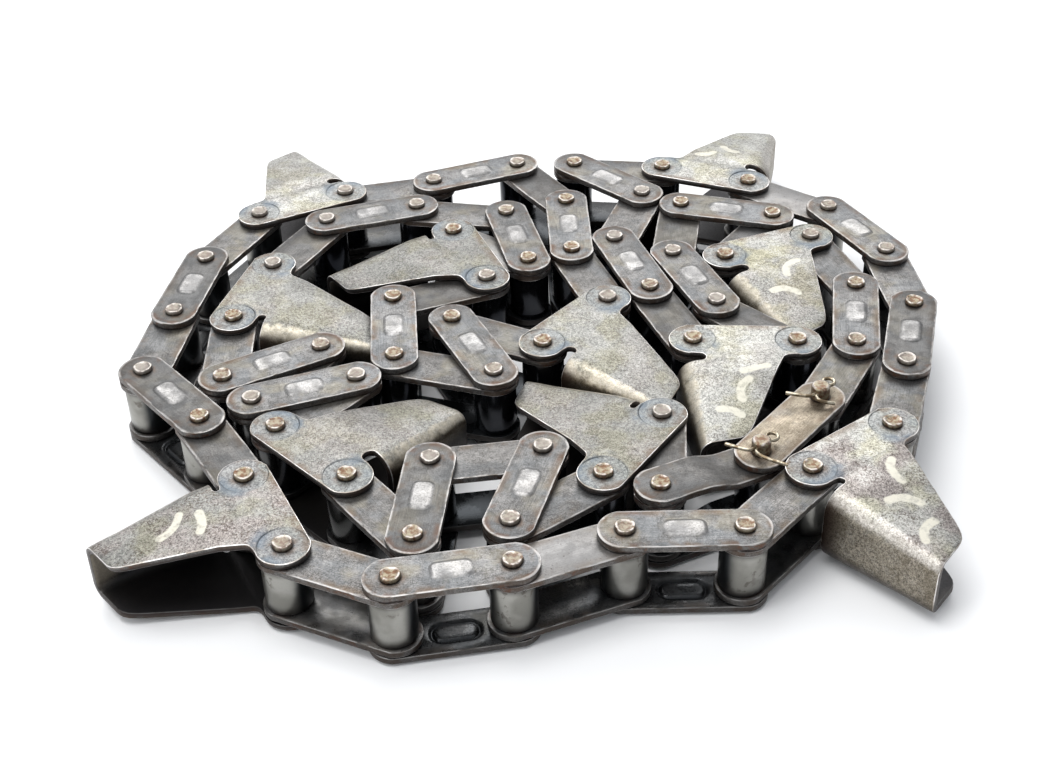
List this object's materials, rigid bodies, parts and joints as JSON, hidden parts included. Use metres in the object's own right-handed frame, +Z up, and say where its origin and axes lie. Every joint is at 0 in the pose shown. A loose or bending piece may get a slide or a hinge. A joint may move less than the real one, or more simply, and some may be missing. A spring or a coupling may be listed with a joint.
{
  "type": "heap of steel chain",
  "caption": "Endless steel roller chain with bent lug links, lying on its side in a heap, folded back and forth in a single layer with its pins upright.",
  "frame": {"origin": "centre of the heap's outline, on the floor under the pins' lower ends", "axes": "+Z up, along the pins; +X to the right and +Y away from the viewer in the picture; +X runs along the heap's longer side"},
  "size_m": [0.3298, 0.3254, 0.0388],
  "materials": {
    "pin_link_steel": "dark, oily and worn, with bright edges",
    "roller_link_steel": "dark grey-brown, oily, with worn rollers",
    "lug_steel": "speckled grey, lightly rusted, worn pale on the folds",
    "cover_steel": "tan with small rust spots",
    "cotter_steel": "bright drawn wire with brown stain"
  },
  "bodies": {
    "root": {"lug_link_03": "lug_steel", "lug_link_09": "lug_steel", "lug_link_15": "lug_steel", "lug_link_21": "lug_steel", "lug_link_27": "lug_steel", "lug_link_33": "lug_steel", "lug_link_39": "lug_steel", "lug_link_45": "lug_steel", "lug_link_51": "lug_steel", "lug_link_57": "lug_steel", "lug_link_63": "lug_steel", "roller_link_02": "roller_link_steel", "roller_link_04": "roller_link_steel", "roller_link_08": "roller_link_steel", "roller_link_10": "roller_link_steel", "roller_link_14": "roller_link_steel", "roller_link_16": "roller_link_steel", "roller_link_20": "roller_link_steel", "roller_link_22": "roller_link_steel", "roller_link_26": "roller_link_steel", "roller_link_28": "roller_link_steel", "roller_link_32": "roller_link_steel", "roller_link_34": "roller_link_steel", "roller_link_38": "roller_link_steel", "roller_link_40": "roller_link_steel", "roller_link_44": "roller_link_steel", "roller_link_46": "roller_link_steel", "roller_link_50": "roller_link_steel", "roller_link_52": "roller_link_steel", "roller_link_56": "roller_link_steel", "roller_link_58": "roller_link_steel", "roller_link_62": "roller_link_steel", "roller_link_64": "roller_link_steel", "link_pair_05": "pin_link_steel", "link_pair_11": "pin_link_steel", "link_pair_17": "pin_link_steel", "link_pair_23": "pin_link_steel", "link_pair_29": "pin_link_steel", "link_pair_35": "pin_link_steel", "link_pair_41": "pin_link_steel", "link_pair_47": "pin_link_steel", "link_pair_53": "pin_link_steel", "link_pair_59": "pin_link_steel", "link_pair_65": "pin_link_steel", "pin_link_07": "pin_link_steel", "pin_link_13": "pin_link_steel", "pin_link_19": "pin_link_steel", "pin_link_25": "pin_link_steel", "pin_link_31": "pin_link_steel", "pin_link_37": "pin_link_steel", "pin_link_43": "pin_link_steel", "pin_link_49": "pin_link_steel", "pin_link_55": "pin_link_steel", "pin_link_61": "pin_link_steel", "offset_link": "pin_link_steel", "connecting_link": "pin_link_steel", "cover_plate": "cover_steel", "cotter_pin_1": "cotter_steel", "cotter_pin_2": "cotter_steel"}
  },
  "joints": []
}
